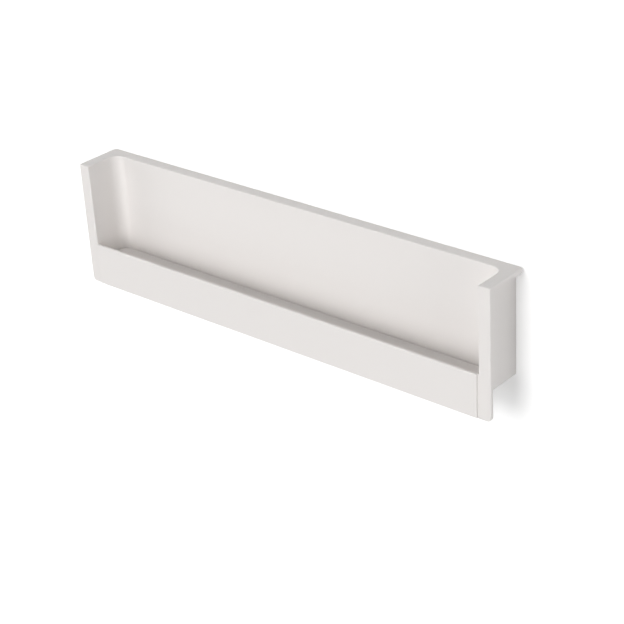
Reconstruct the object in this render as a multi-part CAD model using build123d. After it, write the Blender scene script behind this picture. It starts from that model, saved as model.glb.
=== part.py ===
from build123d import *
import os

# Recessed pull for a notch in the top edge of a drawer front, one white moulding.
# Millimetres. It lies on its back, as it is stored: X runs along the handle, Y up
# the drawer front towards the rim, Z from its back out towards the user. The origin
# is under the middle of the handle, level with its back.

# Overall sizes
length = 223.0
height = 57.7
depth = 22.5

# Side flanges, in front of the board on both sides of the notch
front_flange = 1.65

# Rim: the flat band over the top edge of the board
rim_thickness = 2.0
rim_side = 5.7
rim_back = 5.6
rim_fillet = 2.2

# Box that fills the notch, with the recess for the fingers in it
wall = 2.0
floor_height = 12.3
recess_corner = 5.2
floor_groove = 0.6

# Lip: the low front wall that the fingers pull on, a little proud of the flanges
lip_height = 19.9
lip_proud = 0.8
lip_margin = 0.4
lip_tip = 1.3
lip_edge = 0.45
lip_rear_edge = 0.3
lip_corner = 0.6

# Ribs across the hollow back
rib_thickness = 1.2
rib_pitch = 21.0

# Rounded edges and corners
back_corner = 2.2
foot_corner = 2.0
outer_edge = 0.6
mouth_edge = 0.5

# Places and half widths that follow from the sizes above
crown = height / 2
foot = -height / 2
flange_rear = depth - front_flange
rim_underside = crown - rim_thickness
floor_top = foot + floor_height
floor_underside = floor_top - wall
lip_top = foot + lip_height
recess_back = rim_back
bay_depth = recess_back - wall
lip_front = depth + lip_proud
lip_tip_rear = lip_front - lip_tip
half_length = length / 2
half_recess = half_length - rim_side
half_box = half_recess + wall
half_lip = half_recess - lip_margin


def block(half_width, low, high, rear, front):
    """Plain block between two heights along Y and two depths along Z, centred along X."""
    corner = (Align.CENTER, Align.MIN, Align.MIN)
    return Pos(0, low, rear) * Box(2 * half_width, high - low, front - rear, align=corner)


def round_backed(half_width, low, high, rear, front, corner):
    """Block with its two long rear corners rounded."""
    plain = block(half_width, low, high, rear, front)
    rear_corners = plain.edges().filter_by(Axis.Y).group_by(Axis.Z)[0]
    return fillet(rear_corners, corner)


def envelope():
    """Outer form of the rim and the side flanges, which every plate is trimmed to."""
    form = round_backed(half_length, foot, crown, 0, depth, back_corner)
    feet = form.edges().filter_by(Axis.Z).group_by(Axis.Y)[0]
    form = fillet(feet, foot_corner)
    return fillet(form.edges().filter_by(on_show), outer_edge)


def on_show(edge):
    """Whether an edge of the envelope bounds its top or its front."""
    middle = edge.position_at(0.5)
    return middle.Y > crown - outer_edge or middle.Z > depth - outer_edge


def rim_and_flanges():
    """Rim and front plate as one L-shaped section, with a fillet in its inner corner."""
    angle = block(half_length, rim_underside, crown, 0, depth)
    angle += block(half_length, foot, crown, flange_rear, depth)
    inner_corner = angle.edges().filter_by(Axis.X).filter_by(is_inner_corner)
    angle = fillet(inner_corner, rim_fillet)
    return angle - block(half_recess, 2 * foot, rim_underside, flange_rear, 2 * depth)


def is_inner_corner(edge):
    """Whether an edge is where the rim's underside meets the back of the front plate."""
    middle = edge.position_at(0.5)
    return abs(middle.Y - rim_underside) < rim_thickness / 2 and abs(middle.Z - flange_rear) < front_flange / 2


def box():
    """Box that fills the notch: its back is hollowed into bays, with ribs between them."""
    shell = block(half_box, floor_underside, crown, 0, flange_rear)
    shell -= block(half_recess, floor_top, rim_underside, 0, bay_depth)
    bays = max(2, round(2 * half_recess / rib_pitch))
    spacing = 2 * half_recess / bays
    rib = block(rib_thickness / 2, floor_top, rim_underside, 0, bay_depth)
    return shell + [Pos(spacing * (n + 1) - half_recess, 0, 0) * rib for n in range(bays - 1)]


def recess():
    """Space for the fingers, running out past the front and the top of the moulding."""
    return round_backed(half_recess, floor_top, 2 * crown, recess_back, 2 * depth, recess_corner)


def foot_groove():
    """Fine groove in the floor of the recess, along the foot of its walls."""
    low = floor_top - floor_groove
    outer = round_backed(half_recess, low, floor_top, recess_back, flange_rear, recess_corner)
    inner_rear = recess_back + floor_groove
    inner_corner = recess_corner - floor_groove
    return outer - round_backed(half_recess - floor_groove, low, floor_top, inner_rear, 2 * depth, inner_corner)


def on_mouth(edge):
    """Whether an edge runs round the mouth of the recess, in front or on top."""
    middle = edge.position_at(0.5)
    beside_recess = abs(middle.X) < half_recess + mouth_edge and middle.Z > recess_back - mouth_edge
    in_front = middle.Z > depth - front_flange / 2
    on_top = middle.Y > crown - rim_thickness / 2
    return beside_recess and (in_front or on_top)


def lip():
    """Low front wall, thinner towards its top, that joins the two flanges."""
    section = Plane.YZ * make_face(
        Polyline(
            (foot, flange_rear),
            (floor_top, flange_rear),
            (lip_top, lip_tip_rear),
            (lip_top, depth),
            (foot, depth),
            close=True,
        )
    )
    wall_plate = extrude(section, amount=half_recess + mouth_edge, both=True)
    tip_rear = wall_plate.faces().sort_by(Axis.Y)[-1].edges().filter_by(Axis.X).sort_by(Axis.Z)[0]
    return fillet(tip_rear, lip_rear_edge) & envelope()


def lip_face():
    """Proud front of the lip, rounded at its corners and along its outline."""
    plate = block(half_lip, foot + lip_margin, lip_top, lip_tip_rear + lip_rear_edge, lip_front)
    plate = fillet(plate.edges().filter_by(Axis.Z), lip_corner)
    return fillet(plate.faces().sort_by(Axis.Z)[-1].edges(), lip_edge)


def handle_body():
    """The whole moulding."""
    body = (rim_and_flanges() + box()) & envelope()
    body -= recess()
    body -= foot_groove()
    body = fillet(body.edges().filter_by(on_mouth), mouth_edge)
    return body + lip() + lip_face()


os.makedirs("parts", exist_ok=True)
handle = handle_body()
export_step(handle, "parts/handle_body.step")
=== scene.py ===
import math
import bpy
import numpy as np
from mathutils import Matrix, Vector

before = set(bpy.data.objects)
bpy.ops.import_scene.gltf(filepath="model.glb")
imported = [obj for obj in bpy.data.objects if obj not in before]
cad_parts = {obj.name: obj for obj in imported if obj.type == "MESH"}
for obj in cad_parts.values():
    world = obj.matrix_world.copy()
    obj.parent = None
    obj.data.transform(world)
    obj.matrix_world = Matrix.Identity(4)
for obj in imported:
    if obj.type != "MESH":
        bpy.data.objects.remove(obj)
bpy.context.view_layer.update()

# Camera. A long lens looks at the handle from its front right and from above its
# rim, turned a few degrees about its own axis. The rim is up in the picture.
MM = 0.001
camera_place = Vector((440.14, 313.43, 486.18)) * MM
camera_aim = Vector((22.63, -6.52, 22.5)) * MM
camera_roll = math.radians(-3.532)
sensor_width_mm = 36.0
focal_length_mm = 98.8
farthest_seen = 20.0
camera_data = bpy.data.cameras.new("camera")
camera_data.sensor_width = sensor_width_mm
camera_data.lens = focal_length_mm
camera_data.clip_end = farthest_seen
camera = bpy.data.objects.new("camera", camera_data)
bpy.context.scene.collection.objects.link(camera)
towards_rim = Vector((0.0, 1.0, 0.0))
backward = (camera_place - camera_aim).normalized()
rightward = towards_rim.cross(backward).normalized()
upward = backward.cross(rightward)
level = Matrix((rightward, upward, backward)).transposed()
camera.location = camera_place
camera.rotation_euler = (level @ Matrix.Rotation(camera_roll, 3, "Z")).to_euler()
bpy.context.scene.camera = camera


# Handle. One white plastic moulding with a fine satin grain from its mould. Its
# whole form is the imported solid, so only its finish is made here.
class Wire:
    """A shader value. Arithmetic on it, with numbers on either side, adds Math nodes."""

    def __init__(self, tree, socket):
        self.tree = tree
        self.socket = socket

    @classmethod
    def node(cls, tree, kind, settings, inputs, output=0):
        """Adds a node: its settings first, then a value or a link for each named input."""
        made = tree.nodes.new(kind)
        for name, value in settings.items():
            setattr(made, name, value)
        for name, value in inputs.items():
            if isinstance(value, Wire):
                tree.links.new(value.socket, made.inputs[name])
            else:
                made.inputs[name].default_value = value
        return cls(tree, made.outputs[output])

    def math(self, operation, first, second):
        """One Math node on two values."""
        inputs = {0: first, 1: second}
        return Wire.node(self.tree, "ShaderNodeMath", {"operation": operation}, inputs)

    def __add__(self, other):
        return self.math("ADD", self, other)

    def __radd__(self, other):
        return self.math("ADD", other, self)

    def __sub__(self, other):
        return self.math("SUBTRACT", self, other)

    def __rsub__(self, other):
        return self.math("SUBTRACT", other, self)

    def __mul__(self, other):
        return self.math("MULTIPLY", self, other)

    def __rmul__(self, other):
        return self.math("MULTIPLY", other, self)

    def at_most(self, limit):
        """The smaller of this value and a limit."""
        return self.math("MINIMUM", self, limit)


grain_size_mm = 0.35
flow_mark_size_mm = 24.0
tone_patch_size_mm = 60.0
deeper_white = (0.787, 0.760, 0.742, 1.0)
paler_white = (0.817, 0.789, 0.771, 1.0)
mean_roughness = 0.44
bump_strength = 0.6
plastic_ior = 1.5


def satin_plastic():
    """Satin white moulding plastic. Grain, flow marks and tone patches swing about zero.

    Colour goes from the deeper to the paler white by a half, plus half of the patches
    and a fifth of the grain. Roughness is its mean, plus a tenth of the grain and a
    twentieth of the flow marks. Height in mm is 0.035 grain plus 0.02 flow marks.
    """
    material = bpy.data.materials.new("satin_plastic")
    material.use_nodes = True
    tree = material.node_tree
    shader = tree.nodes["Principled BSDF"]
    place = Wire.node(tree, "ShaderNodeTexCoord", {}, {}, "Object")

    def noise(size_mm, detail):
        scale = 1 / (size_mm * MM)
        inputs = {"Vector": place, "Scale": scale, "Detail": detail, "Roughness": 0.5}
        settings = {"noise_dimensions": "3D"}
        return Wire.node(tree, "ShaderNodeTexNoise", settings, inputs, "Fac") - 0.5

    grain = noise(grain_size_mm, detail=3.0)
    flow_marks = noise(flow_mark_size_mm, detail=2.0)
    patches = noise(tone_patch_size_mm, detail=2.0)
    tone = 0.5 + 0.5 * patches + 0.2 * grain
    whites = {"Factor": tone, "A": deeper_white, "B": paler_white}
    colour = Wire.node(tree, "ShaderNodeMix", {"data_type": "RGBA"}, whites, "Result")
    tree.links.new(colour.socket, shader.inputs["Base Color"])
    roughness = mean_roughness + 0.10 * grain + 0.05 * flow_marks
    tree.links.new(roughness.socket, shader.inputs["Roughness"])
    height = 0.035 * grain + 0.02 * flow_marks
    relief = {"Strength": bump_strength, "Distance": MM, "Height": height}
    bump = Wire.node(tree, "ShaderNodeBump", {}, relief, "Normal")
    tree.links.new(bump.socket, shader.inputs["Normal"])
    shader.inputs["IOR"].default_value = plastic_ior
    return material


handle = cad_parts["handle_body"]
handle.data.materials[0] = satin_plastic()

# Floor. A wide pale sheet that the handle lies on. A lit place looks white, the
# handle's shadow stays on it, and its own glow takes over far away from the lamps.
white = (1.0, 1.0, 1.0, 1.0)
pale_grey = (0.8, 0.8, 0.8, 1.0)
floor_half = 12.0
near_glow = 0.3
glow_per_metre = 0.35
full_glow = 1.0
floor_mesh = bpy.data.meshes.new("floor")
corners = np.array([[-1, -1, 0], [1, -1, 0], [1, 1, 0], [-1, 1, 0]]) * floor_half
floor_mesh.from_pydata(corners.tolist(), [], [(0, 1, 2, 3)])
floor = bpy.data.objects.new("floor", floor_mesh)
bpy.context.scene.collection.objects.link(floor)
floor_material = bpy.data.materials.new("pale_floor")
floor_material.use_nodes = True
floor_tree = floor_material.node_tree
floor_tree.nodes.clear()


def seen_directly(tree):
    """1 for rays from the camera, off a gloss and through glass, and 0 for the others."""
    from_camera = Wire.node(tree, "ShaderNodeLightPath", {}, {}, "Is Camera Ray")
    off_gloss = Wire.node(tree, "ShaderNodeLightPath", {}, {}, "Is Glossy Ray")
    through_glass = Wire.node(tree, "ShaderNodeLightPath", {}, {}, "Is Transmission Ray")
    return from_camera + off_gloss + through_glass


spot = Wire.node(floor_tree, "ShaderNodeTexCoord", {}, {}, "Object")
distance = Wire.node(floor_tree, "ShaderNodeVectorMath", {"operation": "LENGTH"}, {0: spot}, "Value")
rising_glow = (near_glow + glow_per_metre * distance).at_most(full_glow)
lift = seen_directly(floor_tree) * rising_glow
matt = Wire.node(floor_tree, "ShaderNodeBsdfDiffuse", {}, {"Color": pale_grey})
glow = Wire.node(floor_tree, "ShaderNodeEmission", {}, {"Color": white, "Strength": lift})
both = Wire.node(floor_tree, "ShaderNodeAddShader", {}, {0: matt, 1: glow})
floor_out = floor_tree.nodes.new("ShaderNodeOutputMaterial")
floor_tree.links.new(both.socket, floor_out.inputs["Surface"])
floor_mesh.materials.append(floor_material)

# Light. A dim room that looks white itself, and wide soft lamps, all aimed at the
# middle of the handle. The low side lamps give no glare on its broad faces.
room_light = 0.05
lamp_distance = 2.0
lamp_width = 1.2
lamp_aim = Vector((0.0, 0.0, 11.0)) * MM
room = bpy.data.worlds.new("room")
bpy.context.scene.world = room
room.use_nodes = True
room_background = room.node_tree.nodes["Background"]
room_background.inputs["Color"].default_value = white
strength = room_light + (full_glow - room_light) * seen_directly(room.node_tree)
room.node_tree.links.new(strength.socket, room_background.inputs["Strength"])


def soft_lamp(name, sideways, rimward, watts, glare):
    """A disc lamp. Its direction leans from straight above by two angles, in degrees."""
    across = math.tan(math.radians(sideways))
    along = math.tan(math.radians(rimward))
    direction = Vector((across, along, 1.0)).normalized()
    data = bpy.data.lights.new(name, "AREA")
    data.shape = "DISK"
    data.size = lamp_width
    data.energy = watts
    lamp = bpy.data.objects.new(name, data)
    bpy.context.scene.collection.objects.link(lamp)
    lamp.location = lamp_aim + direction * lamp_distance
    lamp.rotation_euler = direction.to_track_quat("Z", "Y").to_euler()
    lamp.visible_glossy = glare


soft_lamp("front_lamp", sideways=0, rimward=0, watts=7.8, glare=True)
soft_lamp("upper_lamp", sideways=0, rimward=23, watts=22.5, glare=True)
soft_lamp("lower_lamp", sideways=0, rimward=-40, watts=4.7, glare=True)
soft_lamp("right_lamp", sideways=75, rimward=8, watts=11.8, glare=False)
soft_lamp("left_lamp", sideways=-60, rimward=8, watts=8.9, glare=False)

# View. Colours are shown as they are.
bpy.context.scene.view_settings.view_transform = "Standard"
